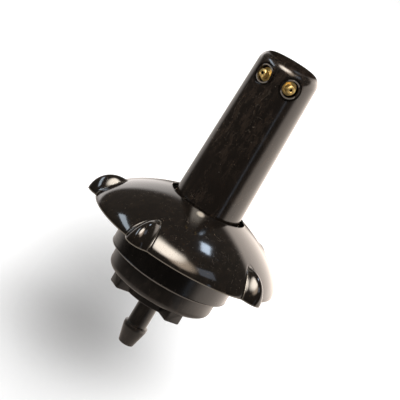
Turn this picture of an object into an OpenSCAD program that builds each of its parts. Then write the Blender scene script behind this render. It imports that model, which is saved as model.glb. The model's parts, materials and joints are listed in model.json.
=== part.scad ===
/* [Dome cap] */
// Radius of the dome at its rim
dome_r = 28.8; // [23:0.1:36]
// Height of the dome from its rim to the riser opening
dome_rise = 13.3; // [11:0.1:17]
// Wall thickness of the dome
dome_wall = 2.0; // [1.4:0.1:2.6]
// Gap between the riser and the edge of the opening
opening_gap = 1.35; // [0.8:0.05:1.8]
// Radius of a grip lug, seen from its side
lug_r = 7.4; // [6:0.1:8]
// Width of a grip lug
lug_w = 9.2; // [6:0.1:12]

/* [Riser] */
// Radius of the riser where it slides
riser_r = 10.15; // [8:0.05:12.5]
// Height of the riser's top above the rim
riser_top = 59.5; // [45:0.5:75]
// Wall thickness of the riser
riser_wall = 1.95; // [1.4:0.05:2.5]
// Draft of the riser above the dome, in degrees
riser_draft = 1.45; // [0.5:0.05:2]
// Radius of the rounded edge at the riser's top
riser_round = 3.2; // [2:0.1:4]
// Distance the riser lifts under pressure
riser_travel = 12; // [8:0.5:12]

/* [Nozzles] */
// Depth of the nozzle axes below the riser's top
nozzle_drop = 5.6; // [5:0.1:8]
// Bearing of the left nozzle, from the front, in degrees
left_bearing = -38; // [-60:1:-35]
// Bearing of the right nozzle, from the front, in degrees
right_bearing = 19; // [15:1:60]
// Radius of the nozzle's tip
nozzle_tip_r = 1.13; // [0.9:0.01:1.4]
// Radius of the spray orifice
orifice_r = 0.4; // [0.3:0.05:0.6]

/* [Barrel] */
// Radius of the collar that stands in the deck hole
collar_r = 18.4; // [17:0.1:24]
// Height of the collar
collar_h = 8.9; // [7:0.1:12]
// Wall thickness of the barrel
barrel_wall = 1.7; // [1.4:0.1:2.4]
// Length of the spigot that the base screws on
spigot_h = 4.1; // [3.4:0.1:6]

/* [Base] */
// Wall thickness of the base cup
base_wall = 1.7; // [1.4:0.1:2.5]
// Thickness of the base cup's floor
base_floor = 1.8; // [1.4:0.1:3]
// Radius of the neck under the cup
neck_r = 9.9; // [8.5:0.1:12]
// Height of the neck and its tabs
neck_h = 3.2; // [2.6:0.1:5]
// Reach of the tabs from the axis
tab_reach = 14.05; // [13:0.05:15.5]
// Width of a tab
tab_w = 5.0; // [3.5:0.1:6]
// Radius of the hose barb at its ridge
barb_r = 3.6; // [3:0.05:5]
// Length of the hose barb
barb_len = 15.7; // [12:0.1:20]
// Radius of the water way through the barb
barb_bore_r = 1.8; // [1.2:0.05:2]

/* [Spring] */
// Diameter of the spring wire
wire_d = 1.2; // [0.9:0.1:1.2]
// Number of coils
coils = 4.5; // [3.5:0.5:4.5]

/* [Hidden] */

$fn = 96;
arc_steps = 14;

// Clearances
running = 0.1;      // a piece that slides or turns in a seal
loose = 0.3;        // curved faces of pieces that move past each other
washer_gap = 0.15;  // slip washer round the riser
seated = 0.05;      // pieces that are pushed together and stay together
eps = 0.01;         // overlap of two solids that are one moulding

// Radii of the sliding stack, from the riser outwards
opening_r = riser_r + opening_gap;
flange_r = riser_r + 2.15;
bore_r = flange_r + loose;
barrel_r = bore_r + barrel_wall;
skirt_in_r = barrel_r + loose;
skirt_r = skirt_in_r + 2.0;
pocket_r = flange_r + 0.25;
spring_r = riser_r + 0.65 + wire_d / 2;

// Heights inside the dome, from the opening downwards
ceiling_z = dome_rise - 2.3;
seal_h = 1.8;
seat_h = 0.8;
seal_z = ceiling_z - seal_h;
seat_z = seal_z - running - seat_h;
boss_z = seat_z - 1.0;
barrel_top = boss_z - loose;

// Heights below the rim, downwards
spigot_z = -collar_h - spigot_h;
gasket_h = 0.5;
floor_z = spigot_z - gasket_h;
cup_z = floor_z - base_floor;
neck_z = cup_z - neck_h;
barb_z = neck_z - barb_len;

// Heights of the moving stack at rest, upwards
cup_seal_h = 0.65;
cup_seal_z = floor_z + 0.2;
flange_z = cup_seal_z + cup_seal_h;
flange_h = 2.15;
riser_z = flange_z + flange_h;
washer_z = riser_z + running;
washer_h = 0.8;
spring_z = washer_z + washer_h;
tail_r = riser_r - riser_wall;
tail_h = 5.0;
piston_bore_r = 3.0;

// Nozzle recess
nozzle_z = riser_top - nozzle_drop;
nozzle_face = riser_r - (nozzle_z - dome_rise) * tan(riser_draft);
recess_r = nozzle_tip_r + 2.2;
ring_r = nozzle_tip_r + 1.67;
head_r = nozzle_tip_r + 0.94;
well_r = head_r + 0.28;
tip_x = nozzle_face + 0.6;
shank_r = nozzle_tip_r + 0.45;
recess_x = nozzle_face - 1.1;
head_x = nozzle_face - 2.0;
head_h = 0.7;
jet_seal_h = 0.45;
jet_inner_x = nozzle_face - 4.4;

// Bearings of the grip lugs from the front; the first three are the ones in view
lug_bearings = [-88, -23, 54, 134, 202];
lug_centre = dome_r - 4.6;

// Dome surface: (radius / r) ^ dome_bow + (height / h) ^ dome_fall = 1
dome_bow = 1.5;
dome_fall = 1.6;
dome_h = dome_rise / pow(1 - pow(opening_r / dome_r, dome_bow), 1 / dome_fall);
function dome_radius(z, r, h) = r * pow(1 - pow(z / h, dome_fall), 1 / dome_bow);
function dome_arc(r, h, z0, z1) =
    [for (i = [0 : arc_steps]) let (z = z0 + (z1 - z0) * sin(90 * i / arc_steps)) [dome_radius(z, r, h), z]];
function arc(cx, cz, r, a0, a1) =
    [for (i = [0 : arc_steps]) let (a = a0 + (a1 - a0) * i / arc_steps) [cx + r * cos(a), cz + r * sin(a)]];
function reversed(list) = [for (i = [len(list) - 1 : -1 : 0]) list[i]];

// A ring of rectangular section
module ring(r_in, r_out, z, h) {
    difference() {
        translate([0, 0, z]) cylinder(r = r_out, h = h);
        translate([0, 0, z - 1]) cylinder(r = r_in, h = h + 2);
    }
}

// Places a radial piece, drawn along +X, at a bearing from the front (-Y)
module at_bearing(bearing, z = 0) {
    rotate([0, 0, bearing - 90]) translate([0, 0, z]) children();
}

// One grip lug: a rounded disc that stands along the radius, cut flat at the rim
module lug() {
    intersection() {
        translate([lug_centre, 0, 0]) rotate([90, 0, 0]) rotate_extrude() polygon(
            [for (i = [0 : arc_steps]) let (a = 180 * i / arc_steps - 90) [lug_r * cos(a), lug_w / 2 * sin(a)]]
        );
        translate([0, -lug_w, 0]) cube([dome_r + lug_r, 2 * lug_w, lug_r + 1]);
    }
}

module dome_cap() {
    inner_r = dome_r - dome_wall;
    inner_h = dome_h - dome_wall;
    color([0.10, 0.09, 0.08]) difference() {
        union() {
            // domed shell
            rotate_extrude() polygon(concat(
                dome_arc(dome_r, dome_h, 0, dome_rise),
                [[opening_r, ceiling_z]],
                reversed(dome_arc(inner_r, inner_h, 0, ceiling_z - 0.6))
            ));
            // skirt that screws on the barrel, and the boss that holds the seal
            intersection() {
                difference() {
                    translate([0, 0, loose]) cylinder(r = skirt_r, h = dome_rise);
                    translate([0, 0, -1]) cylinder(r = skirt_in_r, h = boss_z + 1);
                }
                rotate_extrude() polygon(concat([[0, 0]], dome_arc(dome_r - 0.5, dome_h - 0.5, 0, dome_rise - 0.6),
                    [[0, dome_rise - 0.6]]));
            }
            for (bearing = lug_bearings) {
                difference() {
                    at_bearing(bearing) lug();
                    rotate_extrude() polygon(concat([[0, -1], [inner_r + 0.3, -1]],
                        dome_arc(inner_r + 0.3, inner_h + 0.3, 0, ceiling_z - 0.6), [[0, ceiling_z - 0.6]]));
                }
            }
        }
        // opening for the riser and pocket for the wiper seal and spring seat
        translate([0, 0, -1]) cylinder(r = opening_r, h = dome_rise + 5);
        translate([0, 0, -1]) cylinder(r = pocket_r, h = ceiling_z + 1);
    }
}

module wiper_seal() {
    lip = riser_r + running;
    color([0.06, 0.06, 0.06]) rotate_extrude() polygon([
        [lip, seal_z + 0.9], [lip + 0.5, seal_z], [pocket_r - seated, seal_z],
        [pocket_r - seated, ceiling_z], [lip + 1.5, ceiling_z], [lip + 1.0, ceiling_z - 0.4],
        [lip + 0.25, ceiling_z + 0.9], [lip, ceiling_z + 0.8]
    ]);
}

module spring_seat() {
    color([0.15, 0.15, 0.15]) ring(riser_r + loose, pocket_r - washer_gap, seat_z, seat_h);
}

// Return spring: a round wire swept along a helix with closed ends
module return_spring() {
    steps = round(20 * coils);
    sides = 8;
    z0 = spring_z + wire_d / 2;
    z1 = seat_z - wire_d / 2;
    rings = [for (i = [0 : steps])
        let (t = i / steps, a = 360 * coils * t, z = z0 + (z1 - z0) * (1 - cos(180 * t)) / 2 * 0.35
            + (z1 - z0) * t * 0.65)
        [for (k = [0 : sides - 1])
            let (b = 360 * k / sides, r = spring_r + wire_d / 2 * cos(b))
            [r * cos(a), r * sin(a), z + wire_d / 2 * sin(b)]]];
    sides_faces = [for (i = [0 : steps - 1], k = [0 : sides - 1])
        [i * sides + k, i * sides + (k + 1) % sides, (i + 1) * sides + (k + 1) % sides, (i + 1) * sides + k]];
    first_end = [for (k = [sides - 1 : -1 : 0]) k];
    last_end = [for (k = [0 : sides - 1]) steps * sides + k];
    color([0.75, 0.75, 0.77]) polyhedron(
        points = [for (ring = rings, p = ring) p],
        faces = concat(sides_faces, [first_end, last_end]),
        convexity = 10
    );
}

module slip_washer() {
    color([0.85, 0.84, 0.80]) ring(riser_r + washer_gap, flange_r, washer_z, washer_h);
}

// Opening for one nozzle, drawn along +X
module nozzle_recess() {
    translate([recess_x, 0, 0]) rotate([0, 90, 0]) difference() {
        cylinder(r = recess_r, h = 6);
        translate([0, 0, -1]) cylinder(r = ring_r, h = nozzle_face - 0.25 - recess_x + 1);
    }
    translate([head_x - jet_seal_h, 0, 0]) rotate([0, 90, 0]) cylinder(r = well_r, h = 6);
    rotate([0, 90, 0]) cylinder(r = shank_r + seated, h = nozzle_face);
}

module riser() {
    top_r = riser_r - (riser_top - riser_round - dome_rise) * tan(riser_draft);
    head_z = nozzle_z - recess_r - 1.2;
    head_in_r = tail_r - (head_z - 2 - dome_rise) * tan(riser_draft);
    core_r = jet_inner_x - 0.3;
    inner_top = riser_top - 2.2;
    color([0.11, 0.10, 0.09]) difference() {
        rotate_extrude() polygon(concat(
            [[0, riser_z], [riser_r, riser_z], [riser_r, dome_rise]],
            arc(top_r - riser_round, riser_top - riser_round, riser_round, 0, 84),
            [[0, riser_top + 0.15]]
        ));
        // bore, which narrows to a core inside the thick head that holds the nozzles
        rotate_extrude() polygon([
            [0, riser_z - 1], [tail_r, riser_z - 1], [tail_r, dome_rise], [head_in_r, head_z - 2],
            [core_r, head_z], [core_r, inner_top], [0, inner_top]
        ]);
        for (bearing = [left_bearing, right_bearing])
            at_bearing(bearing, nozzle_z) nozzle_recess();
    }
}

// One brass nozzle, drawn along +X
module nozzle() {
    difference() {
        union() {
            translate([jet_inner_x, 0, 0]) rotate([0, 90, 0]) cylinder(r = shank_r, h = head_x - jet_inner_x + eps);
            translate([head_x, 0, 0]) rotate([0, 90, 0]) cylinder(r = head_r, h = head_h);
            translate([head_x, 0, 0]) rotate([0, 90, 0]) cylinder(r = nozzle_tip_r, h = tip_x - head_x);
        }
        rotate([0, 90, 0]) cylinder(r = orifice_r, h = nozzle_face + 2, $fn = 32);
        translate([jet_inner_x - 1, 0, 0]) rotate([0, 90, 0]) cylinder(r = shank_r - 0.5, h = 3);
    }
}

module nozzle_seal() {
    translate([head_x - jet_seal_h, 0, 0]) rotate([0, 90, 0])
        ring(shank_r + seated, head_r + 0.1, 0, jet_seal_h - eps);
}

module nozzle_left() {
    color([0.72, 0.56, 0.28]) at_bearing(left_bearing, nozzle_z) nozzle();
}

module nozzle_right() {
    color([0.72, 0.56, 0.28]) at_bearing(right_bearing, nozzle_z) nozzle();
}

module nozzle_seal_left() {
    color([0.06, 0.06, 0.06]) at_bearing(left_bearing, nozzle_z) nozzle_seal();
}

module nozzle_seal_right() {
    color([0.06, 0.06, 0.06]) at_bearing(right_bearing, nozzle_z) nozzle_seal();
}

module piston() {
    color([0.20, 0.20, 0.20]) difference() {
        union() {
            translate([0, 0, flange_z]) cylinder(r = flange_r, h = flange_h);
            translate([0, 0, riser_z - eps]) cylinder(r = tail_r - seated, h = tail_h + eps);
        }
        translate([0, 0, flange_z - 1]) cylinder(r = piston_bore_r, h = flange_h + tail_h + 2);
    }
}

// Rubber cup under the piston, with a lip that wipes the barrel
module cup_seal() {
    color([0.06, 0.06, 0.06]) rotate_extrude() polygon([
        [piston_bore_r, cup_seal_z + 0.2], [bore_r - 1.4, cup_seal_z + 0.2], [bore_r - running - 0.3, cup_seal_z],
        [bore_r - running, cup_seal_z + 0.1], [bore_r - running, flange_z], [piston_bore_r, flange_z]
    ]);
}

// Strainer cage that stands on the piston, inside the riser
module riser_filter() {
    cage_r = tail_r - 2.8;
    cage_z = riser_z + tail_h;
    cage_h = 16;
    windows = 6;
    color([0.80, 0.80, 0.78]) difference() {
        union() {
            translate([0, 0, cage_z]) cylinder(r = tail_r - running, h = 0.8);
            translate([0, 0, cage_z]) cylinder(r = cage_r, h = cage_h);
        }
        translate([0, 0, cage_z - 1]) cylinder(r = cage_r - 0.6, h = cage_h + 0.4);
        for (i = [0 : windows / 2 - 1])
            rotate([0, 0, 180 * i / (windows / 2)]) translate([-cage_r - 1, -1.6, cage_z + 2])
                cube([2 * cage_r + 2, 3.2, cage_h - 4]);
    }
}

module body_barrel() {
    edge = 0.4;
    color([0.09, 0.08, 0.07]) difference() {
        union() {
            translate([0, 0, spigot_z]) cylinder(r = barrel_r - running, h = barrel_top - spigot_z - 1);
            translate([0, 0, edge - collar_h]) cylinder(r = collar_r, h = collar_h - edge);
            translate([0, 0, -collar_h]) cylinder(r1 = collar_r - edge, r2 = collar_r, h = edge + eps);
            translate([0, 0, barrel_top - 1 - eps]) cylinder(r1 = barrel_r - running, r2 = barrel_r - 0.6, h = 1 + eps);
        }
        translate([0, 0, spigot_z - 1]) cylinder(r = bore_r, h = barrel_top - spigot_z + 2);
    }
}

module base_gasket() {
    color([0.06, 0.06, 0.06]) ring(bore_r + loose, barrel_r - running, floor_z + seated, gasket_h - 2 * seated);
}

module inlet_screen() {
    screen_r = neck_r - 3.0;
    hole_r = 0.55;
    color([0.80, 0.80, 0.78]) difference() {
        translate([0, 0, floor_z - 0.8]) cylinder(r = screen_r, h = 0.5);
        for (row = [1 : 3], i = [0 : 6 * row - 1])
            rotate([0, 0, 60 * i / row]) translate([1.9 * row, 0, floor_z - 2]) cylinder(r = hole_r, h = 3, $fn = 16);
        translate([0, 0, floor_z - 2]) cylinder(r = hole_r, h = 3, $fn = 16);
    }
}

module inlet_base() {
    cup_r = barrel_r + 0.2 + base_wall;
    cup_in_r = barrel_r + 0.2;
    cup_round = 1.7;
    cup_top = -collar_h - 0.3;
    pocket_in_r = neck_r - 3.0 + seated;
    barb_neck_r = barb_r - 0.65;
    barb_tip_r = barb_r - 1.3;
    ridge_z = neck_z - 9.3;
    color([0.16, 0.14, 0.12]) difference() {
        union() {
            rotate_extrude() polygon(concat(
                [[0, cup_z], [cup_r - cup_round, cup_z]],
                arc(cup_r - cup_round, cup_z + cup_round, cup_round, -90, 0),
                [[cup_r, cup_top], [0, cup_top]]
            ));
            translate([0, 0, neck_z]) cylinder(r = neck_r, h = neck_h + eps);
            for (i = [0 : 3])
                at_bearing(35 + 90 * i, neck_z) translate([0, -tab_w / 2, 0]) cube([tab_reach, tab_w, neck_h + eps]);
            rotate_extrude() polygon([
                [0, barb_z], [barb_tip_r, barb_z], [barb_r, ridge_z - 1.0], [barb_r, ridge_z],
                [barb_neck_r, ridge_z + 0.3], [barb_neck_r, neck_z + eps], [0, neck_z + eps]
            ]);
        }
        translate([0, 0, floor_z]) cylinder(r = cup_in_r, h = spigot_h + 5);
        translate([0, 0, floor_z - 0.8]) cylinder(r = pocket_in_r, h = 2);
        translate([0, 0, neck_z + 1.6]) cylinder(r = pocket_in_r - 0.6, h = neck_h + base_floor);
        translate([0, 0, barb_z - 1]) cylinder(r = barb_bore_r, h = barb_len + 4);
    }
}

dome_cap();
wiper_seal();
spring_seat();
return_spring();
slip_washer();
riser();
piston();
cup_seal();
riser_filter();
nozzle_left();
nozzle_right();
nozzle_seal_left();
nozzle_seal_right();
body_barrel();
base_gasket();
inlet_screen();
inlet_base();
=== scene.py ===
"""Looks for the pop up sprinkler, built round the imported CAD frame, in metres. MM is one millimetre."""
import json
import math

import bmesh
import bpy
from mathutils import Matrix, Vector


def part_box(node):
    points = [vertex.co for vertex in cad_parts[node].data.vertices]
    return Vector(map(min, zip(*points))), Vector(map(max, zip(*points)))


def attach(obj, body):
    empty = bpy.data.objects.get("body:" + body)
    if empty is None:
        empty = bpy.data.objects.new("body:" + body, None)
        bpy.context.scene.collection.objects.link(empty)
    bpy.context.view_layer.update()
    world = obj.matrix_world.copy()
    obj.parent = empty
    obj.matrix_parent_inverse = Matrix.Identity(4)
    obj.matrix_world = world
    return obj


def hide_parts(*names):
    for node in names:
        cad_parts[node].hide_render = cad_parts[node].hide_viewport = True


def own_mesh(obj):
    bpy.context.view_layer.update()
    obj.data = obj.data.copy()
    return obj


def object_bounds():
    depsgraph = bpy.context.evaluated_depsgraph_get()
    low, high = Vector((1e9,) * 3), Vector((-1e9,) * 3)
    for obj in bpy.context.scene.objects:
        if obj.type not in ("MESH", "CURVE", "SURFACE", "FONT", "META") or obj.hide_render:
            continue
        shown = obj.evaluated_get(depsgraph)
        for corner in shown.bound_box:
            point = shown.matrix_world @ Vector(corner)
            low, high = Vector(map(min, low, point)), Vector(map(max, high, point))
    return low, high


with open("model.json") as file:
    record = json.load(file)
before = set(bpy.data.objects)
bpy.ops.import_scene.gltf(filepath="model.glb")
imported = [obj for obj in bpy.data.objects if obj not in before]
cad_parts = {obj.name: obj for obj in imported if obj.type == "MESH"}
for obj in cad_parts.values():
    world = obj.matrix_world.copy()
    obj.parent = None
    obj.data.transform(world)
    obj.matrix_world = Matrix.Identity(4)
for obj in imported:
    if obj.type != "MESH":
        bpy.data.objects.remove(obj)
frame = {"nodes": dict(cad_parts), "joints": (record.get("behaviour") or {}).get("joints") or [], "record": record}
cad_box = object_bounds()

MM = 0.001

# ---------------------------------------------------------------- sizes, from the frame where it holds them
JOINTS = {j["name"]: j for j in frame["joints"]}
MOUNTS = {m["name"]: m for m in frame["record"]["mounts"]}

riser_low, riser_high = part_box("riser")
dome_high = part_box("dome_cap")[1]
barrel_low, barrel_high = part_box("body_barrel")
base_low, base_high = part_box("inlet_base")
seat_low, seat_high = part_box("spring_seat")
spring_low, spring_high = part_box("return_spring")
gasket_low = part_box("base_gasket")[0]
screen_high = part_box("inlet_screen")[1]

COLLAR_R = MOUNTS["deck_spigot"]["dims"]["r_mm"] * MM
BARB_R = MOUNTS["hose_barb"]["dims"]["r_mm"] * MM
RISER_R = riser_high.x
RISER_TOP = riser_high.z
OPENING_Z = dome_high.z
LEAD = 2.5 * MM

# Dome cap, as the CAD source has it
DOME_R = 28.8 * MM
DOME_BOW = 1.5
DOME_FALL = 1.6
DOME_WALL = 2.0 * MM
OPENING_R = RISER_R + 1.35 * MM
CEILING_Z = OPENING_Z - 2.3 * MM
POCKET_R = seat_high.x + 0.15 * MM
LUG_BEARINGS = [math.radians(b) for b in (-88, -23, 54, 134, 202)]
LUG_CENTRE = DOME_R - 4.6 * MM
LUG_R = 7.4 * MM
LUG_HALF = 4.7 * MM
LUG_TAPER = 0.42
DOME_H = OPENING_Z / (1 - (OPENING_R / DOME_R) ** DOME_BOW) ** (1 / DOME_FALL)
BORE_R = POCKET_R + 0.05 * MM
TUBE_R = BORE_R + 1.6 * MM
SKIRT_IN_R = BORE_R + 2.0 * MM
SKIRT_R = SKIRT_IN_R + 2.0 * MM

# Riser
RISER_WALL = 1.95 * MM
RISER_ROUND = 3.2 * MM
RISER_DRAFT = math.radians(1.45)
CORE_R = 3.4 * MM

# Nozzles, and the recess and fine ring round each of them
NOZZLE_PROUD = 0.6 * MM
RECESS_R = 3.33 * MM
RING_OUT = 2.8 * MM
RING_IN = 2.3 * MM
SHANK_HOLE_R = 1.63 * MM

# Barrel
COLLAR_LOW = -8.9 * MM


# ---------------------------------------------------------------- materials
class Nodes:
    """Adds shader nodes to one tree and links them with few words."""

    def __init__(self, tree):
        self.tree = tree
        self.tree.nodes.clear()

    def add(self, kind, **values):
        node = self.tree.nodes.new("ShaderNode" + kind)
        for name, value in values.items():
            if name in node.inputs.keys():
                self.put(node.inputs[name], value)
            elif hasattr(node, name):
                setattr(node, name, value)
            else:
                self.put(node.inputs[name.replace("_", " ")], value)
        return node

    def put(self, target, value):
        if isinstance(value, bpy.types.NodeSocket):
            self.tree.links.new(value, target)
        else:
            target.default_value = value

    def math(self, operation, a, b=0.0, c=0.0, clamp=False):
        node = self.tree.nodes.new("ShaderNodeMath")
        node.operation = operation
        node.use_clamp = clamp
        for target, value in zip(node.inputs, (a, b, c)):
            self.put(target, value)
        return node.outputs[0]

    def ramp(self, value, low, high, out_low=0.0, out_high=1.0):
        """A smooth step from out_low to out_high while value goes from low to high."""
        node = self.tree.nodes.new("ShaderNodeMapRange")
        node.interpolation_type = "SMOOTHSTEP"
        for target, number in zip(node.inputs, (value, low, high, out_low, out_high)):
            self.put(target, number)
        return node.outputs[0]

    def mix(self, factor, a, b):
        node = self.tree.nodes.new("ShaderNodeMix")
        node.data_type = "RGBA"
        self.put(node.inputs[0], factor)
        self.put(node.inputs[6], a)
        self.put(node.inputs[7], b)
        return node.outputs[2]

    def noise(self, scale_mm, detail=3.0, roughness=0.55, stretch=(1, 1, 1), seed=0.0):
        """Noise whose blobs are about scale_mm wide, stretched along the frame's axes."""
        place = self.tree.nodes.new("ShaderNodeTexCoord")
        mapping = self.tree.nodes.new("ShaderNodeMapping")
        mapping.inputs["Location"].default_value = (seed, seed * 0.7, seed * 0.3)
        mapping.inputs["Scale"].default_value = tuple(1 / s for s in stretch)
        self.tree.links.new(place.outputs["Object"], mapping.inputs["Vector"])
        node = self.tree.nodes.new("ShaderNodeTexNoise")
        node.inputs["Scale"].default_value = 1 / (scale_mm * MM)
        node.inputs["Detail"].default_value = detail
        node.inputs["Roughness"].default_value = roughness
        self.tree.links.new(mapping.outputs[0], node.inputs["Vector"])
        return node.outputs["Fac"]

    def specks(self, spacing_mm, size, seed=0.0):
        """1 on small round specks, about spacing_mm apart, 0 between them."""
        place = self.tree.nodes.new("ShaderNodeTexCoord")
        mapping = self.tree.nodes.new("ShaderNodeMapping")
        mapping.inputs["Location"].default_value = (seed, seed, seed)
        self.tree.links.new(place.outputs["Object"], mapping.inputs["Vector"])
        node = self.tree.nodes.new("ShaderNodeTexVoronoi")
        node.inputs["Scale"].default_value = 1 / (spacing_mm * MM)
        self.tree.links.new(mapping.outputs[0], node.inputs["Vector"])
        return self.ramp(node.outputs["Distance"], size * 0.5, size, 1.0, 0.0)


def material(name):
    made = bpy.data.materials.new(name)
    made.use_nodes = True
    return made, Nodes(made.node_tree)


def finish_material(nodes, **values):
    shader = nodes.add("BsdfPrincipled", **values)
    output = nodes.add("OutputMaterial")
    nodes.tree.links.new(shader.outputs[0], output.inputs["Surface"])


def bump(nodes, height, depth_mm, strength=1.0):
    node = nodes.add("Bump", Strength=strength, Distance=depth_mm * MM, Height=height)
    return node.outputs[0]


def hairline(n, scale_mm, width, stretch, seed):
    """1 on fine wandering scratches, which follow one level of a smooth noise."""
    field = n.noise(scale_mm, detail=1.5, roughness=0.4, stretch=stretch, seed=seed)
    away = n.math("ABSOLUTE", n.math("SUBTRACT", field, 0.5))
    return n.ramp(away, 0.0, width, 1.0, 0.0)


def moulded_plastic(name, colour, dusty, rough, rough_spread, scratches, wear,
                    painted_highlight=None, painted_highlight_tint=(0.30, 0.26, 0.22, 1), dull=None):
    """Moulded black plastic: brown mottling, handling scratches, dust specks and uneven gloss.

    One function may give a factor for painted highlights, painted pale in a tint; dull(n) one for a face without
    shine."""
    made, n = material(name)
    mottle = n.noise(1.5, detail=6, roughness=0.68, stretch=(1, 1, 2.4), seed=3.1)
    broad = n.noise(9.0, detail=3, stretch=(1, 1, 1.8), seed=6.0)
    fine = n.noise(0.3, detail=3, seed=8.4)
    upright, level = hairline(n, 3.2, 0.010, (1, 1, 3.5), 1.7), hairline(n, 2.3, 0.007, (2.5, 2.5, 1), 5.2)
    lines = n.math("MAXIMUM", n.math("MAXIMUM", upright, level), hairline(n, 1.6, 0.008, (1, 1, 5), 9.4))
    broken = n.ramp(n.noise(1.3, detail=3, seed=4.4), 0.50, 0.60)
    patches = n.ramp(broad, 0.40, 0.62)
    scratch = n.math("MULTIPLY", n.math("MULTIPLY", lines, broken), patches)
    scratch = n.math("MULTIPLY", scratch, scratches)
    specks = n.math("MULTIPLY", n.specks(1.9, 0.07, seed=0.021), n.ramp(fine, 0.5, 0.6))
    dust = n.math("MULTIPLY", n.math("MULTIPLY", n.ramp(mottle, 0.42, 0.66), n.ramp(broad, 0.30, 0.56)), wear)
    tint = n.mix(dust, colour, dusty)
    tint = n.mix(n.math("MULTIPLY", scratch, 0.5), tint, (0.24, 0.185, 0.135, 1))
    tint = n.mix(n.math("MULTIPLY", specks, 0.5), tint, (0.26, 0.22, 0.18, 1))
    uneven = n.math("MULTIPLY_ADD", n.math("SUBTRACT", mottle, 0.5), rough_spread, rough)
    uneven = n.math("MULTIPLY_ADD", scratch, 0.22, uneven)
    uneven = n.math("MULTIPLY_ADD", specks, 0.3, uneven, clamp=True)
    # painted highlights: places painted pale in the tint, and made a little rougher
    if painted_highlight:
        edge = painted_highlight(n)
        tint = n.mix(edge, tint, painted_highlight_tint)
        uneven = n.math("MULTIPLY_ADD", edge, 0.2, uneven, clamp=True)
    height = n.math("MULTIPLY_ADD", broad, 0.6, n.math("MULTIPLY", scratch, -0.3))
    height = n.math("MULTIPLY_ADD", fine, 0.05, height)
    shine = 0.5
    if dull:
        flat = dull(n)
        shine = n.math("MULTIPLY_ADD", flat, -0.5, 0.5)
        uneven = n.math("MULTIPLY_ADD", flat, 0.15, uneven, clamp=True)
    finish_material(n, Base_Color=tint, Roughness=uneven, IOR=1.5, Specular_IOR_Level=shine,
                    Normal=bump(n, height, 0.03))
    return made


def place_of(n):
    """The point's x, y and z in the frame."""
    place = n.add("TexCoord")
    split = n.tree.nodes.new("ShaderNodeSeparateXYZ")
    n.tree.links.new(place.outputs["Object"], split.inputs[0])
    return split.outputs


def dome_painted_highlights(n):
    """Painted highlights: pale along the rim, along the beads round the lugs and on one spot before the riser."""
    rim = n.ramp(place_of(n)[2], 0.40 * MM, 0.12 * MM)
    beads = n.add("Attribute", attribute_name="lug_bead_highlight").outputs["Fac"]
    spot = n.add("VectorMath", operation="DISTANCE")
    n.tree.links.new(n.add("TexCoord").outputs["Object"], spot.inputs[0])
    spot.inputs[1].default_value = (-0.5 * MM, -12.9 * MM, 12.7 * MM)
    # painted highlight: one pale spot on the dome just before the riser
    spot_highlight = n.math("MULTIPLY", n.ramp(spot.outputs["Value"], 1.5 * MM, 0.3 * MM), 1.4)
    edges = n.math("MAXIMUM", n.math("MULTIPLY", rim, 0.36), n.math("MULTIPLY", beads, 0.15))
    return n.math("MAXIMUM", edges, spot_highlight)


def riser_top(n):
    """The riser's flat top is dull, unlike its sides."""
    return n.ramp(place_of(n)[2], RISER_TOP - 1.7 * MM, RISER_TOP - 0.5 * MM)


def ring_painted_highlight(n):
    """Painted highlight: pale on the fine ring round each nozzle."""
    return n.math("MULTIPLY", n.add("Attribute", attribute_name="nozzle_ring_highlight").outputs["Fac"], 0.75)


def collar_painted_highlight(n):
    """Painted highlight: pale along the collar's lower edge."""
    z = place_of(n)[2]
    below = n.ramp(z, COLLAR_LOW + 0.45 * MM, COLLAR_LOW + 0.28 * MM)
    above = n.ramp(z, COLLAR_LOW - 0.12 * MM, COLLAR_LOW + 0.05 * MM)
    return n.math("MULTIPLY", n.math("MULTIPLY", below, above), 0.7)


def rubber(name):
    made, n = material(name)
    grain = n.noise(0.25, detail=4, seed=4.0)
    tint = n.mix(n.ramp(n.noise(1.8, seed=7.7), 0.4, 0.7), (0.010, 0.010, 0.010, 1), (0.028, 0.026, 0.024, 1))
    rough = n.math("MULTIPLY_ADD", grain, 0.25, 0.5)
    finish_material(n, Base_Color=tint, Roughness=rough, IOR=1.5, Normal=bump(n, grain, 0.02))
    return made


def brass(name):
    made, n = material(name)
    tarnish = n.ramp(n.noise(0.9, detail=4, seed=9.0), 0.52, 0.85)
    tint = n.mix(tarnish, (0.97, 0.72, 0.29, 1), (0.58, 0.37, 0.11, 1))
    # painted shade: dark in the bore, at the nipple's foot and side and under the head's edge
    painted_shade = n.add("Attribute", attribute_name="painted_shade").outputs["Fac"]
    tint = n.mix(painted_shade, tint, (0.020, 0.012, 0.005, 1))
    turning = n.noise(0.2, detail=2, seed=2.5)
    rough = n.math("MULTIPLY_ADD", painted_shade, 0.3, n.math("MULTIPLY_ADD", tarnish, 0.12, 0.38), clamp=True)
    finish_material(n, Base_Color=tint, Metallic=1.0, Roughness=rough, Normal=bump(n, turning, 0.0015))
    return made


def steel(name):
    made, n = material(name)
    grain = n.noise(0.5, detail=4, stretch=(1, 1, 0.2), seed=1.2)
    tint = n.mix(grain, (0.62, 0.62, 0.63, 1), (0.46, 0.46, 0.47, 1))
    rough = n.math("MULTIPLY_ADD", grain, 0.2, 0.22)
    finish_material(n, Base_Color=tint, Metallic=1.0, Roughness=rough, Normal=bump(n, grain, 0.004))
    return made


def plain_plastic(name, colour, shade):
    made, n = material(name)
    grain = n.noise(0.4, detail=4, seed=3.3)
    tint = n.mix(n.noise(3.0, seed=6.1), colour, shade)
    rough = n.math("MULTIPLY_ADD", grain, 0.18, 0.38)
    finish_material(n, Base_Color=tint, Roughness=rough, IOR=1.48, Normal=bump(n, grain, 0.01))
    return made


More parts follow.
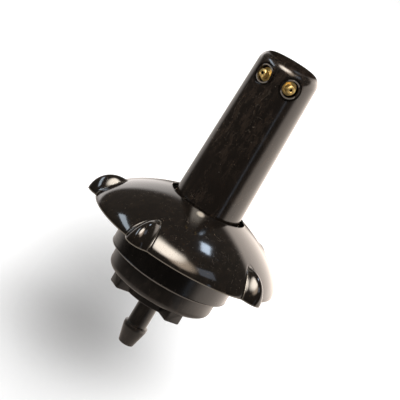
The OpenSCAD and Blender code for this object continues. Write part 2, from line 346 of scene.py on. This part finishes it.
GLOSS = moulded_plastic("gloss_black_plastic", (0.0058, 0.0045, 0.0034, 1), (0.062, 0.040, 0.025, 1),
                        rough=0.17, rough_spread=0.10, scratches=0.9, wear=0.75)
# painted highlight on the fine ring round each nozzle
RISER = moulded_plastic("riser_black_plastic", (0.0122, 0.0088, 0.0066, 1), (0.044, 0.029, 0.020, 1),
                        rough=0.17, rough_spread=0.10, scratches=0.8, wear=0.7,
                        painted_highlight=ring_painted_highlight, dull=riser_top)
# painted highlights along the rim, along the lug beads and on one spot before the riser
DOME = moulded_plastic("dome_black_plastic", (0.0090, 0.0066, 0.0049, 1), (0.062, 0.040, 0.025, 1),
                       rough=0.10, rough_spread=0.06, scratches=0.4, wear=0.16,
                       painted_highlight=dome_painted_highlights, painted_highlight_tint=(0.64, 0.54, 0.42, 1))
# painted highlight along the collar's lower edge
SATIN = moulded_plastic("satin_black_plastic", (0.0030, 0.0025, 0.0021, 1), (0.014, 0.010, 0.0075, 1),
                        rough=0.25, rough_spread=0.14, scratches=0.4, wear=0.6, painted_highlight=collar_painted_highlight)
BASE = moulded_plastic("base_brown_black_plastic", (0.0085, 0.0062, 0.0046, 1), (0.028, 0.0195, 0.014, 1),
                       rough=0.34, rough_spread=0.16, scratches=0.4, wear=0.8)
RUBBER = rubber("black_rubber")
BRASS = brass("turned_brass")
STEEL = steel("stainless_steel")
GREY = plain_plastic("grey_plastic", (0.10, 0.10, 0.10, 1), (0.14, 0.14, 0.135, 1))
WHITE = plain_plastic("natural_acetal", (0.74, 0.73, 0.68, 1), (0.66, 0.64, 0.58, 1))
SLOT_MATERIALS = {
    "black_gloss": GLOSS, "black_satin": SATIN, "seal_rubber": RUBBER, "nozzle_brass": BRASS,
    "stainless": STEEL, "grey_plastic": GREY, "white_plastic": WHITE,
}


# ---------------------------------------------------------------- mesh helpers
def mesh_object(name, verts, faces):
    mesh = bpy.data.meshes.new(name)
    mesh.from_pydata(verts, [], faces)
    mesh.validate()
    mesh.update()
    made = bpy.data.objects.new(name, mesh)
    bpy.context.scene.collection.objects.link(made)
    return made


def clean(obj, merge_mm=0.0005):
    """Merges doubled points and turns every face outwards."""
    work = bmesh.new()
    work.from_mesh(obj.data)
    bmesh.ops.remove_doubles(work, verts=work.verts, dist=merge_mm * MM)
    bmesh.ops.recalc_face_normals(work, faces=work.faces)
    work.to_mesh(obj.data)
    work.free()
    obj.data.update()


def smooth(obj, angle=32):
    for polygon in obj.data.polygons:
        polygon.use_smooth = True
    obj.data.set_sharp_from_angle(angle=math.radians(angle))


def lathe(name, loop, turns=192, bearings=None, shift=None):
    """Turns a closed outline of (r, z) points about Z.

    bearings may give uneven steps, and shift(r, z, bearing, index) may move a point in its plane."""
    angles = bearings or [math.tau * i / turns for i in range(turns)]
    verts = []
    for a in angles:
        for i, (r, z) in enumerate(loop):
            if shift:
                r, z = shift(r, z, a, i)
            verts.append((r * math.sin(a), -r * math.cos(a), z))
    count = len(loop)
    faces = []
    for k in range(len(angles)):
        following = (k + 1) % len(angles)
        for i in range(count):
            j = (i + 1) % count
            faces.append((k * count + i, k * count + j, following * count + j, following * count + i))
    made = mesh_object(name, verts, faces)
    clean(made)
    return made


def fillet(points, radii, steps=6):
    """Rounds the corners of a closed outline; radii gives each corner's radius, 0 for a sharp one."""
    out = []
    count = len(points)
    for i, (p, radius) in enumerate(zip(points, radii)):
        here, before, after = Vector(p), Vector(points[i - 1]), Vector(points[(i + 1) % count])
        if radius <= 0:
            out.append(tuple(here))
            continue
        u, v = (before - here), (after - here)
        reach_limit = 0.49 * min(u.length, v.length)
        u.normalize()
        v.normalize()
        half = u.angle(v) / 2
        reach = min(radius / math.tan(half), reach_limit)
        radius = reach * math.tan(half)
        centre = here + (u + v).normalized() * (radius / math.sin(half))
        start, end = here + u * reach - centre, here + v * reach - centre
        sweep = start.angle(end)
        for k in range(steps + 1):
            t = k / steps
            if sweep < 1e-6:
                out.append(tuple(centre + start))
            else:
                blend = (start * math.sin((1 - t) * sweep) + end * math.sin(t * sweep)) / math.sin(sweep)
                out.append(tuple(centre + blend))
    return out


def refine(loop, longest_mm):
    """Splits the outline's long sides, so that a shift has points to move."""
    out = []
    for i, p in enumerate(loop):
        q = loop[(i + 1) % len(loop)]
        pieces = max(1, math.ceil(math.dist(p, q) / (longest_mm * MM)))
        out += [(p[0] + (q[0] - p[0]) * k / pieces, p[1] + (q[1] - p[1]) * k / pieces) for k in range(pieces)]
    return out


def boolean(obj, other, operation):
    modifier = obj.modifiers.new("cut", "BOOLEAN")
    modifier.operation = operation
    modifier.solver = "EXACT"
    modifier.object = other
    graph = bpy.context.evaluated_depsgraph_get()
    result = bpy.data.meshes.new_from_object(obj.evaluated_get(graph))
    obj.modifiers.clear()
    obj.data = result
    bpy.data.objects.remove(other)
    return obj


def dress(obj, slot, body, *nodes, look=None):
    """Gives a piece the material of its slot or the look given, puts it in its body and hides the CAD nodes it
    stands for.
    """
    obj.data.materials.clear()
    obj.data.materials.append(look or SLOT_MATERIALS[slot])
    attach(obj, body)
    if nodes:
        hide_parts(*nodes)
    return obj


def smooth_step(low, high, value):
    t = min(1.0, max(0.0, (value - low) / (high - low)))
    return t * t * (3 - 2 * t)


# ---------------------------------------------------------------- dome cap
def dome_radius(z, r, h):
    return r * max(0.0, 1 - (z / h) ** DOME_FALL) ** (1 / DOME_BOW)


def lug_distance(point):
    """Signed distance, near enough, to the nearest grip lug: a rounded disc that stands along the radius."""
    bearing = math.atan2(point.x, -point.y)
    near = min(LUG_BEARINGS, key=lambda b: abs((b - bearing + math.pi) % math.tau - math.pi))
    radial = point.x * math.sin(near) - point.y * math.cos(near) - LUG_CENTRE
    across = point.x * math.cos(near) + point.y * math.sin(near)
    across /= 1 - LUG_TAPER * max(0.0, point.z) / LUG_R
    level = Vector((radial / LUG_R, across / LUG_HALF, point.z / LUG_R))
    slope = Vector((level.x / LUG_R, level.y / LUG_HALF, level.z / LUG_R))
    return level.length * (level.length - 1) / max(slope.length, 1e-9)


def lug_height(here, normal):
    """How far the surface stands out of the dome at a point, with a bead and groove round the lug's foot."""
    gap = lug_distance(here)
    if gap > 0.9 * MM:
        return 0.0
    if gap > 0:
        bead, groove = 1 - smooth_step(0, 0.25 * MM, gap), 1 - smooth_step(0.25 * MM, 0.9 * MM, gap)
        return 0.10 * MM * bead - 0.08 * MM * groove
    low, high = -0.2 * MM, 6 * MM
    for _ in range(26):
        middle = (low + high) / 2
        if lug_distance(here + normal * middle) < 0:
            low = middle
        else:
            high = middle
    return high + 0.10 * MM * (1 - smooth_step(0, 0.5 * MM, high))


def make_dome():
    inner_r, inner_h = DOME_R - DOME_WALL, DOME_H - DOME_WALL
    boss_z = seat_low.z - 1.0 * MM
    rings = 74
    outer = []
    for i in range(rings + 1):
        t = math.pi / 2 * i / rings
        z = (OPENING_Z - 0.18 * MM) * math.sin(t)
        outer.append((dome_radius(z, DOME_R, DOME_H), z))
    lip = [(OPENING_R + 0.22 * MM, OPENING_Z - 0.03 * MM), (OPENING_R + 0.08 * MM, OPENING_Z - 0.06 * MM),
           (OPENING_R, OPENING_Z - 0.2 * MM)]
    under = [(OPENING_R, CEILING_Z), (POCKET_R, CEILING_Z), (POCKET_R, boss_z), (SKIRT_IN_R, boss_z),
             (SKIRT_IN_R, 0.5 * MM), (SKIRT_IN_R + 0.2 * MM, 0.3 * MM), (SKIRT_R - 0.2 * MM, 0.3 * MM),
             (SKIRT_R, 0.5 * MM)]
    hollow = []
    top_z = inner_h * (1 - (SKIRT_R / inner_r) ** DOME_BOW) ** (1 / DOME_FALL)
    for i in range(25):
        t = math.pi / 2 * (1 - i / 24)
        z = top_z * math.sin(t)
        hollow.append((dome_radius(z, inner_r, inner_h), z))
    loop = outer + lip + under + hollow
    outer_count = len(outer)
    bearings = []
    for k, centre in enumerate(LUG_BEARINGS):
        near = math.radians(10)
        following = LUG_BEARINGS[k + 1] if k + 1 < len(LUG_BEARINGS) else LUG_BEARINGS[0] + math.tau
        bearings += [centre - near + 2 * near * i / 80 for i in range(81)]
        bearings += [centre + near + (following - centre - 2 * near) * i / 30 for i in range(1, 30)]

    def shift(r, z, bearing, index):
        if index >= outer_count:
            return r, z
        slope = Vector((DOME_BOW / DOME_R * (r / DOME_R) ** (DOME_BOW - 1),
                        DOME_FALL / DOME_H * (z / DOME_H) ** (DOME_FALL - 1)))
        slope.normalize()
        normal = Vector((slope.x * math.sin(bearing), -slope.x * math.cos(bearing), slope.y))
        height = lug_height(Vector((r * math.sin(bearing), -r * math.cos(bearing), z)), normal)
        return r + slope.x * height, max(0.0, z + slope.y * height)

    dome = lathe("dome_cap_shell", loop, bearings=bearings, shift=shift)
    smooth(dome, 40)
    # painted highlight: marks the bead round each lug's foot, which the dome's material paints pale
    beads = dome.data.attributes.new("lug_bead_highlight", "FLOAT", "POINT")
    for vertex, bead in zip(dome.data.vertices, beads.data):
        point = vertex.co
        raised = math.hypot(point.x, point.y) - dome_radius(point.z, DOME_R, DOME_H)
        near = abs(lug_distance(point)) < 0.14 * MM and raised < 0.3 * MM and point.z < OPENING_Z - 4 * MM
        bead.value = max(0.0, 1 - raised / (0.3 * MM)) if near else 0.0
    return dress(dome, "black_gloss", "cap", "dome_cap", look=DOME)


# ---------------------------------------------------------------- riser and nozzles
def riser_outline():
    shoulder_z = RISER_TOP - RISER_ROUND - 0.15 * MM
    top_r = RISER_R - (shoulder_z - OPENING_Z) * math.tan(RISER_DRAFT)
    points = [(RISER_R - 0.3 * MM, riser_low.z), (RISER_R, riser_low.z + 0.3 * MM), (RISER_R, OPENING_Z)]
    rows = 24
    for i in range(1, rows + 1):
        z = OPENING_Z + (shoulder_z - OPENING_Z) * i / rows
        points.append((RISER_R - (z - OPENING_Z) * math.tan(RISER_DRAFT), z))
    for i in range(1, 17):
        a = math.pi / 2 * i / 16
        points.append((top_r - RISER_ROUND * (1 - math.cos(a)), shoulder_z + RISER_ROUND * math.sin(a)))
    flat_r = top_r - RISER_ROUND
    for i in range(1, 9):
        t = i / 8
        points.append((flat_r * (1 - t), RISER_TOP - 0.15 * MM * (1 - t) ** 2))
    bore, nozzle_z = RISER_R - RISER_WALL, nozzle_place("nozzle_left")[1]
    head_z = nozzle_z - RECESS_R - 1.2 * MM
    head_bore = bore - (head_z - 2 * MM - OPENING_Z) * math.tan(RISER_DRAFT)
    points += [(0, RISER_TOP - 2.2 * MM), (CORE_R, RISER_TOP - 2.2 * MM), (CORE_R, head_z),
               (head_bore, head_z - 2 * MM), (bore, OPENING_Z), (bore, riser_low.z)]
    return points, shoulder_z, top_r


def riser_normal(point, shoulder_z, top_r):
    """The outside surface's normal near a point, or None where the point is not on that surface."""
    r = math.hypot(point.x, point.y)
    if r < 1e-6:
        return Vector((0, 0, 1))
    out = Vector((point.x / r, point.y / r, 0))
    if point.z < OPENING_Z:
        return out if abs(r - RISER_R) < 0.02 * MM else None
    if point.z <= shoulder_z:
        expected = RISER_R - (point.z - OPENING_Z) * math.tan(RISER_DRAFT)
        if abs(r - expected) > 0.02 * MM:
            return None
        return (out * math.cos(RISER_DRAFT) + Vector((0, 0, math.sin(RISER_DRAFT)))).normalized()
    across, up = r - (top_r - RISER_ROUND), point.z - shoulder_z
    if across <= 0:
        return Vector((0, 0, 1)) if up > RISER_ROUND * 0.9 else None
    if abs(math.hypot(across, up) - RISER_ROUND) > 0.03 * MM:
        return None
    return (out * across + Vector((0, 0, up))).normalized()


def along_axis(obj, bearing, z):
    """Lays a piece that was turned about Z along the radius at a bearing."""
    turn = Matrix.Rotation(bearing - math.pi / 2, 4, "Z") @ Matrix.Translation((0, 0, z))
    obj.data.transform(turn @ Matrix.Rotation(math.pi / 2, 4, "Y"))
    obj.data.update()
    return obj


def nozzle_place(node):
    """A nozzle's bearing and height, how far out its tip reaches, and where the riser's skin is behind it."""
    low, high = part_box(node)
    middle = (low + high) / 2
    reach = max(math.hypot(v.co.x, v.co.y) for v in frame["nodes"][node].data.vertices)
    return math.atan2(middle.x, -middle.y), middle.z, reach, reach - NOZZLE_PROUD


def make_riser():
    points, shoulder_z, top_r = riser_outline()
    riser = lathe("riser_tube", points, turns=256)
    for node in ("nozzle_left", "nozzle_right"):
        bearing, z, reach, face = nozzle_place(node)
        cutter = lathe("cutter", [
            (0, face + 3 * MM), (RECESS_R, face + 3 * MM),
            (RECESS_R, face - 1.1 * MM), (RING_OUT, face - 1.1 * MM),
            (RING_OUT, face - 0.4 * MM), (RING_OUT - 0.13 * MM, face - 0.22 * MM),
            (RING_IN + 0.13 * MM, face - 0.22 * MM), (RING_IN, face - 0.4 * MM),
            (RING_IN, face - 2.45 * MM), (SHANK_HOLE_R, face - 2.45 * MM),
            (SHANK_HOLE_R, CORE_R - 0.5 * MM), (0, CORE_R - 0.5 * MM)], 96)
        riser = boolean(riser, along_axis(cutter, bearing, z), "DIFFERENCE")
    clean(riser, 0.0002)
    smooth(riser, 30)
    mesh = riser.data
    # painted highlight: marks the top of the fine ring round each nozzle, which the riser's material paints pale
    rings = mesh.attributes.new("nozzle_ring_highlight", "FLOAT", "POINT")
    for node in ("nozzle_left", "nozzle_right"):
        bearing, z, reach, face = nozzle_place(node)
        axis = Vector((math.sin(bearing), -math.cos(bearing), 0))
        for vertex, ring in zip(mesh.vertices, rings.data):
            away = vertex.co - Vector((0, 0, z))
            along = away.dot(axis)
            if 0.15 * MM < face - along < 0.3 * MM and RING_IN < (away - axis * along).length < RING_OUT:
                ring.value = 1.0
    normals = [corner.vector.copy() for corner in mesh.corner_normals]
    for polygon in mesh.polygons:
        for loop_index in polygon.loop_indices:
            wanted = riser_normal(mesh.vertices[mesh.loops[loop_index].vertex_index].co, shoulder_z, top_r)
            if wanted and wanted.dot(polygon.normal) > 0.9:
                normals[loop_index] = wanted
    mesh.normals_split_custom_set(normals)
    return dress(riser, "black_gloss", "riser", "riser", look=RISER)


def make_nozzle(node):
    bearing, z, reach, face = nozzle_place(node)
    head, top = face - 2.0 * MM, face - 1.3 * MM
    corners = [
        (0.40, reach - 1.6 * MM, 0), (0.40, reach - 0.10 * MM, 0.05), (0.52, reach, 0.05),
        (1.13, reach, 0.22), (1.13, top + 0.35 * MM, 0.1), (0.98, top + 0.12 * MM, 0.1),
        (1.25, top, 0.1), (2.07, top, 0.22), (2.07, head, 0.08), (1.58, head, 0),
        (1.58, face - 4.4 * MM, 0), (1.08, face - 4.4 * MM, 0), (1.08, reach - 2.2 * MM, 0)]
    points = [(r * MM, h) for r, h, _ in corners]
    loop = fillet(points, [f * MM for _, _, f in corners], 5)
    nozzle = lathe(node + "_jet", refine(loop, 0.15), 96)
    # painted shade: 1 in the bore, less at the nipple's foot and side and under the head's edge
    painted_shade = nozzle.data.attributes.new("painted_shade", "FLOAT", "POINT")
    for vertex, mark in zip(nozzle.data.vertices, painted_shade.data):
        r, deep = math.hypot(vertex.co.x, vertex.co.y), reach - vertex.co.z
        foot = smooth_step(0.9 * MM, 0.25 * MM, abs(vertex.co.z - top))
        foot *= smooth_step(0.45 * MM, 0.1 * MM, abs(r - 1.12 * MM))
        rim = smooth_step(top - 0.15 * MM, top - 0.6 * MM, vertex.co.z) if r > 1.9 * MM else 0.0
        bore = 1.0 if r < 0.50 * MM else 0.0
        side = smooth_step(0.15 * MM, 0.45 * MM, deep) if 1.0 * MM < r < 1.2 * MM else 0.0
        mark.value = max(bore, 0.6 * foot, 0.5 * rim, 0.3 * side)
    nozzle = along_axis(nozzle, bearing, z)
    smooth(nozzle, 35)
    return dress(nozzle, "nozzle_brass", "riser", node)


# ---------------------------------------------------------------- barrel, base and spring
def thread(z, bearing, low, high, depth):
    """Height of a right-hand thread ridge that fades out at both ends."""
    turn = (z / LEAD - bearing / math.tau) % 1.0
    ridge = max(0.0, 1 - abs(turn - 0.5) / 0.24)
    fade = smooth_step(low, low + 0.8 * MM, z) * (1 - smooth_step(high - 0.8 * MM, high, z))
    return depth * min(1.0, ridge * 1.5) * fade


def make_barrel():
    bore, tube = BORE_R, TUBE_R
    top, bottom = barrel_high.z, barrel_low.z
    corners = [
        (bore, bottom, 0.15), (tube, bottom, 0.3), (tube, COLLAR_LOW, 0.15),
        (COLLAR_R - 0.55 * MM, COLLAR_LOW, 0.15), (COLLAR_R - 0.3 * MM, COLLAR_LOW - 0.02 * MM, 0.05),
        (COLLAR_R + 0.04 * MM, COLLAR_LOW + 0.12 * MM, 0.1),
        (COLLAR_R + 0.04 * MM, COLLAR_LOW + 0.36 * MM, 0.1),
        (COLLAR_R - 0.06 * MM, COLLAR_LOW + 0.5 * MM, 0.1),
        (COLLAR_R - 0.02 * MM, -0.05 * MM, 0.25), (tube, -0.05 * MM, 0.2), (tube, top, 0.5), (bore, top, 0.2)]
    loop = fillet([(r, z) for r, z, _ in corners], [f * MM for _, _, f in corners], 5)
    loop = refine(loop, 0.22)

    def shift(r, z, bearing, index):
        if abs(r - tube) < 0.02 * MM and z > 0:
            return r + thread(z, bearing, 0.6 * MM, top - 0.4 * MM, 0.24 * MM), z
        if abs(r - tube) < 0.02 * MM and z < COLLAR_LOW:
            return r + thread(z, bearing, bottom + 0.2 * MM, COLLAR_LOW - 0.2 * MM, 0.2 * MM), z
        return r, z

    barrel = lathe("barrel_body", loop, turns=224, shift=shift)
    smooth(barrel, 35)
    return dress(barrel, "black_satin", "barrel", "body_barrel")


def rounded_prism(name, outline, low, high, edge, steps=4):
    """An upright prism of a plan outline (x, y), with its bottom edges rounded inwards."""
    centre = Vector((sum(p[0] for p in outline), sum(p[1] for p in outline))) / len(outline)
    verts, faces = [], []
    angles = [math.pi / 2 * i / steps for i in range(steps + 1)]
    rows = [(low + edge * (1 - math.cos(a)), edge * (1 - math.sin(a))) for a in angles]
    rows.append((high, 0.0))
    count = len(outline)
    for z, inset in rows:
        for p in outline:
            towards = (centre - Vector(p))
            point = Vector(p) + towards.normalized() * inset
            verts.append((point.x, point.y, z))
    for k in range(len(rows) - 1):
        for i in range(count):
            j = (i + 1) % count
            faces.append((k * count + i, k * count + j, (k + 1) * count + j, (k + 1) * count + i))
    faces.append(tuple(range(count)))
    faces.append(tuple((len(rows) - 1) * count + i for i in reversed(range(count))))
    made = mesh_object(name, verts, faces)
    clean(made)
    return made


def make_base():
    cup_r = base_high.x
    top = base_high.z
    floor_z = gasket_low.z - 0.05 * MM
    cup_z = floor_z - 1.8 * MM
    neck_z = cup_z - 3.2 * MM
    neck_r = 9.9 * MM
    wall_r = cup_r - 1.7 * MM
    pocket = screen_high.x + 0.05 * MM
    tip_z = base_low.z
    ridge_z = MOUNTS["hose_barb"]["pos_m"][2] + 0.5 * MM
    barb_neck = BARB_R - 0.65 * MM
    channel = 1.8 * MM
    corners = [
        # barb, neck and the outside of the cup
        (channel, tip_z, 0.2), (BARB_R - 1.3 * MM, tip_z, 0.35), (BARB_R, ridge_z - 1.0 * MM, 0.8),
        (BARB_R, ridge_z, 0.12), (barb_neck, ridge_z + 0.3 * MM, 0.15), (barb_neck, neck_z, 0.5),
        (neck_r, neck_z, 0.25), (neck_r, cup_z, 0.3), (cup_r, cup_z, 1.9), (cup_r, top, 0.3),
        # inside of the cup, pocket of the screen and the channel
        (wall_r, top, 0.15), (wall_r, floor_z, 0.2), (pocket, floor_z, 0.1), (pocket, floor_z - 0.8 * MM, 0),
        (pocket - 0.6 * MM, floor_z - 0.8 * MM, 0), (pocket - 0.6 * MM, neck_z + 1.6 * MM, 0.4),
        (channel, neck_z + 1.6 * MM, 0.3)]
    loop = fillet([(r, z) for r, z, _ in corners], [f * MM for _, _, f in corners], 7)
    base = lathe("inlet_base_body", loop, turns=192)
    reach, half, corner = 14.05 * MM, 2.5 * MM, 0.45 * MM
    for i in range(4):
        right = [(pocket + 1.2 * MM, -half), (reach - corner, -half), (reach - 0.13 * MM, -half + 0.13 * MM),
                 (reach, -half + corner)]
        outline = right + [(x, -y) for x, y in reversed(right)]
        tab = rounded_prism("tab", outline, neck_z + 0.02 * MM, cup_z + 0.6 * MM, 0.35 * MM)
        tab.data.transform(Matrix.Rotation(math.radians(35 + 90 * i) - math.pi / 2, 4, "Z"))
        base = boolean(base, tab, "UNION")
    clean(base, 0.0002)
    smooth(base, 34)
    return dress(base, "black_satin", "base", "inlet_base", look=BASE)


def make_spring():
    """Round wire on a helix with closed ends."""
    wire = 0.6 * MM
    radius = spring_high.x - wire
    low, high = spring_low.z + wire, spring_high.z - wire
    coils, sides = 4.5, 14
    steps = int(48 * coils)
    verts, faces = [], []
    for i in range(steps + 1):
        t = i / steps
        a = math.tau * coils * t
        z = low + (high - low) * ((1 - math.cos(math.pi * t)) / 2 * 0.35 + t * 0.65)
        for k in range(sides):
            b = math.tau * k / sides
            r = radius + wire * math.cos(b)
            verts.append((r * math.cos(a), r * math.sin(a), z + wire * math.sin(b)))
    for i in range(steps):
        for k in range(sides):
            j = (k + 1) % sides
            faces.append((i * sides + k, i * sides + j, (i + 1) * sides + j, (i + 1) * sides + k))
    faces += [tuple(reversed(range(sides))), tuple(steps * sides + k for k in range(sides))]
    spring = mesh_object("return_spring_wire", verts, faces)
    clean(spring)
    smooth(spring, 50)
    dress(spring, "stainless", "barrel", "return_spring")
    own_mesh(spring)
    return spring


def dress_cad_nodes():
    """Gives every CAD node the full material of its slot, in place of the flat packed colour."""
    slots = {part["node"]: part["material_slot"] for part in frame["record"]["subparts"]}
    for name, node in frame["nodes"].items():
        node.data.materials.clear()
        node.data.materials.append(SLOT_MATERIALS[slots[name]])
        for polygon in node.data.polygons:
            polygon.material_index = 0


dress_cad_nodes()
make_dome()
make_riser()
make_nozzle("nozzle_left")
make_nozzle("nozzle_right")
make_barrel()
make_base()
make_spring()


# ---------------------------------------------------------------- floor, light and camera
def direction(bearing, elevation):
    """Unit vector at a bearing from the front (-Y, towards +X) and an elevation, both in degrees."""
    b, e = math.radians(bearing), math.radians(elevation)
    return Vector((math.sin(b) * math.cos(e), -math.cos(b) * math.cos(e), math.sin(e)))


def panel(name, bearing, elevation, wide, high, radiance, colour, distance=0.7, roll=0.0):
    """A soft box: wide and high are the angles in degrees that it fills, seen from the object."""
    light = bpy.data.lights.new(name, "AREA")
    light.shape = "RECTANGLE"
    light.size = 2 * distance * math.tan(math.radians(wide / 2))
    light.size_y = 2 * distance * math.tan(math.radians(high / 2))
    light.energy = radiance * math.pi * light.size * light.size_y
    light.color = colour
    made = bpy.data.objects.new(name, light)
    centre = Vector((0, 0, 0.015))
    made.location = centre + direction(bearing, elevation) * distance
    facing = (centre - made.location).to_track_quat("-Z", "Y").to_matrix().to_4x4()
    turn = Matrix.Rotation(math.radians(roll), 4, "Z")
    made.matrix_world = Matrix.Translation(made.location) @ facing @ turn
    made.visible_camera = False
    bpy.context.scene.collection.objects.link(made)
    return made


# Soft warm glows in front and above: bearing, elevation, radius of the core, radius of the edge, colour
GLOWS = [
    (8, 46, 3, 21, (7.0, 5.6, 4.3, 1)),
    (-22, 56, 6, 24, (24.0, 21.5, 18.5, 1)),
]


def make_world():
    """The object mirrors a white sheet below and behind it and a dark room in front. A camera sees white."""
    world = bpy.data.worlds.new("studio")
    bpy.context.scene.world = world
    world.use_nodes = True
    world.cycles.sampling_method = "NONE"
    n = Nodes(world.node_tree)
    place = n.add("TexCoord")
    split = n.tree.nodes.new("ShaderNodeSeparateXYZ")
    n.tree.links.new(place.outputs["Generated"], split.inputs[0])
    x, y, z = split.outputs
    # the sheet is where the directions are on the inner side of two planes
    right = n.math("MULTIPLY_ADD", x, 0.06, n.math("MULTIPLY_ADD", y, 0.97, n.math("SUBTRACT", 0.20, z)))
    left = n.math("MULTIPLY_ADD", x, 1.78, n.math("MULTIPLY_ADD", y, 0.53, n.math("SUBTRACT", 0.80, z)))
    left = n.math("ADD", left, n.ramp(z, 0.35, 0.05, 0.0, 0.25))
    sheet = n.math("MULTIPLY", n.ramp(right, 0.0, 0.22), n.ramp(left, -0.06, 0.16))
    # a dark door straight behind, which keeps the riser's rounded top dark
    middle = n.ramp(n.math("ABSOLUTE", x), 0.22, 0.10)
    door = n.math("MULTIPLY", middle, n.math("MULTIPLY", n.ramp(z, -0.14, -0.03), n.ramp(z, 0.62, 0.45)))
    bright = n.math("MULTIPLY", sheet, n.math("SUBTRACT", 1.0, door))
    room = n.mix(n.ramp(z, -0.3, 0.6), (0.05, 0.042, 0.036, 1), (0.16, 0.14, 0.12, 1))
    white_left = n.mix(n.ramp(z, 0.06, -0.14), (2.05, 1.92, 1.84, 1), (0.85, 0.78, 0.73, 1))
    white_right = n.mix(n.ramp(z, 0.06, -0.14), (3.2, 2.8, 2.5, 1), (2.4, 2.1, 1.85, 1))
    white = n.mix(n.ramp(x, -0.3, 0.3), white_left, white_right)
    white = n.mix(n.ramp(z, -0.5, -0.22), (0.75, 0.65, 0.57, 1), white)
    mirrored = n.mix(bright, room, white)
    for bearing, elevation, inner, outer, colour in GLOWS:
        along = n.add("VectorMath", operation="DOT_PRODUCT")
        n.tree.links.new(place.outputs["Generated"], along.inputs[0])
        along.inputs[1].default_value = tuple(direction(bearing, elevation))
        glow = n.ramp(along.outputs["Value"], math.cos(math.radians(outer)), math.cos(math.radians(inner)))
        # both glows stop short of straight above
        glow = n.math("MULTIPLY", glow, n.ramp(z, 0.96, 0.88))
        mirrored = n.mix(glow, mirrored, colour)
    paths = n.add("LightPath")
    around = n.mix(n.ramp(z, -0.45, -0.05), (0.30, 0.28, 0.26, 1), (0.70, 0.70, 0.70, 1))
    lit = n.mix(paths.outputs["Is Diffuse Ray"], mirrored, around)
    seen = n.mix(paths.outputs["Is Camera Ray"], lit, (1, 1, 1, 1))
    shader = n.add("Background", Color=seen, Strength=1.0)
    output = n.add("OutputWorld")
    n.tree.links.new(shader.outputs[0], output.inputs["Surface"])


def make_floor():
    """A plain pale floor, clear of the barb when the base is screwed right out, with a painted shadow: it glows
    whiter away from the barb.
    """
    drop = JOINTS["base_drop"]["range_m"][1] + 1.5 * MM
    size, level = 3.0, cad_box[0].z - drop
    corners = [(-size, -size, level), (size, -size, level), (size, size, level), (-size, size, level)]
    floor = mesh_object("floor", corners, [(0, 1, 2, 3)])
    made, n = material("pale_floor")
    tint = n.mix(n.noise(3.0, detail=3), (0.66, 0.66, 0.66, 1), (0.64, 0.64, 0.64, 1))
    x, y, z = place_of(n)
    # painted shadow: an oval to the left of the barb, long in Y, where the floor's glow fades out
    across = n.math("ADD", x, 15 * MM)
    along = n.math("MULTIPLY_ADD", y, 0.25, -11 * MM)
    spread = n.math("SQRT", n.math("MULTIPLY_ADD", across, across, n.math("MULTIPLY", along, along)))
    away = n.ramp(spread, 0.0, 45 * MM)
    shine = n.mix(away, (0.0, 0.0, 0.0, 1), (0.72, 0.72, 0.72, 1))
    finish_material(n, Base_Color=tint, Roughness=0.9, Specular_IOR_Level=0.1,
                    Emission_Color=shine, Emission_Strength=1.0)
    floor.data.materials.append(made)
    floor.visible_glossy = False
    floor.visible_diffuse = False
    return floor


def light_links(light, floor, state):
    """INCLUDE: the light reaches the floor only. EXCLUDE: it reaches everything but the floor."""
    group = bpy.data.collections.new(light.name + "_links")
    group.objects.link(floor)
    light.light_linking.receiver_collection = group
    group.collection_objects[0].light_linking.link_state = state


def make_camera():
    """The photograph's view: a little above the rim, near, and turned about its own line of sight."""
    elevation, roll = math.radians(12.9), math.radians(31.1)
    distance, lens = 405 * MM, 130.0
    aim_right, aim_up = -2.41 * MM, 1.26 * MM
    back = Vector((0, -math.cos(elevation), math.sin(elevation)))
    right = Vector((1, 0, 0))
    up = back.cross(right)
    image_right = right * math.cos(roll) + up * math.sin(roll)
    image_up = up * math.cos(roll) - right * math.sin(roll)
    opening = Vector((0, 0, OPENING_Z))
    place = opening + back * distance
    target = opening + image_right * aim_right + image_up * aim_up
    ahead = (target - place).normalized()
    side = ahead.cross(image_up).normalized()
    upright = side.cross(ahead)
    turn = Matrix((side, upright, -ahead)).transposed()
    data = bpy.data.cameras.new("camera")
    data.lens = lens
    data.sensor_width = 36.0
    data.clip_start = 0.01
    camera = bpy.data.objects.new("camera", data)
    camera.matrix_world = Matrix.Translation(place) @ turn.to_4x4()
    bpy.context.scene.collection.objects.link(camera)
    bpy.context.scene.camera = camera


make_world()
floor = make_floor()
make_camera()
LIGHTS = [
    panel("blue_window", 110, 75.5, 10, 7.5, 16, (0.70, 0.83, 1.0)),
    panel("blue_low", 48, 46, 18, 16, 1.6, (0.72, 0.82, 1.0)),
    panel("blue_left", -77, 30, 38, 9, 8, (0.76, 0.88, 1.0), roll=-18),
    panel("blue_streak", 46, -6, 3, 40, 1.4, (0.66, 0.80, 1.0)),
]
for light in LIGHTS:
    light_links(light, floor, "EXCLUDE")
light_links(panel("floor_wash", 95, 62, 40, 40, 1.15, (1.0, 1.0, 1.0), distance=0.6), floor, "INCLUDE")
bpy.context.scene.view_settings.view_transform = "Standard"
